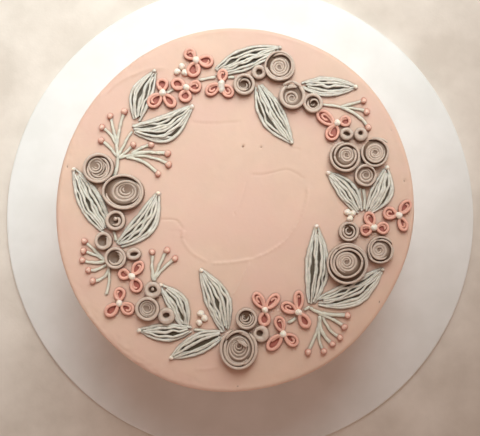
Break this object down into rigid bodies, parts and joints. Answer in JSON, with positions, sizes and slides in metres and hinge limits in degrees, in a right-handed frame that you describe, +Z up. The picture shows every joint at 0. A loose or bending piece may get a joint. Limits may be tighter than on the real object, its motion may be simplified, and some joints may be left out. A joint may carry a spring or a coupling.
{
  "type": "cake on stand",
  "caption": "Round frosted layer cake with a piped buttercream wreath of rolled roses, leaves, small flowers and berry sprays, standing on a thin flat round cake board.",
  "frame": {"origin": "centre of the cake board's underside", "axes": "+Z up through the cake's middle; +Y towards the top of the wreath as it is looked at, +X to its right"},
  "size_m": [0.305, 0.305, 0.1095],
  "materials": {
    "board": "white laminated, satin",
    "frosting": "blush peach buttercream, smoothed",
    "rose": "taupe grey buttercream, piped",
    "leaf": "pale sage buttercream, piped",
    "petal": "coral pink buttercream with cream pearls, piped",
    "spray": "grey green buttercream stems with pink berries, piped"
  },
  "bodies": {
    "root": {"board": "board", "cake": "frosting", "rose_01": "rose", "rose_02": "rose", "rose_03": "rose", "rose_04": "rose", "rose_05": "rose", "rose_06": "rose", "rose_07": "rose", "rose_08": "rose", "rose_09": "rose", "rose_10": "rose", "rose_11": "rose", "rose_12": "rose", "rose_13": "rose", "rose_14": "rose", "rose_15": "rose", "rose_16": "rose", "rose_17": "rose", "rose_18": "rose", "rose_19": "rose", "rose_20": "rose", "rose_21": "rose", "rose_22": "rose", "rose_23": "rose", "rose_24": "rose", "rose_25": "rose", "leaf_01": "leaf", "leaf_02": "leaf", "leaf_03": "leaf", "leaf_04": "leaf", "leaf_05": "leaf", "leaf_06": "leaf", "leaf_07": "leaf", "leaf_08": "leaf", "leaf_09": "leaf", "leaf_10": "leaf", "leaf_11": "leaf", "leaf_12": "leaf", "leaf_13": "leaf", "leaf_14": "leaf", "leaf_15": "leaf", "flower_01": "petal", "flower_02": "petal", "flower_03": "petal", "flower_04": "petal", "flower_05": "petal", "flower_06": "petal", "flower_07": "petal", "flower_08": "petal", "flower_09": "petal", "flower_10": "petal", "flower_11": "petal", "flower_12": "petal", "spray_01": "spray", "spray_02": "spray", "spray_03": "spray", "spray_04": "spray", "spray_05": "spray"}
  },
  "joints": []
}
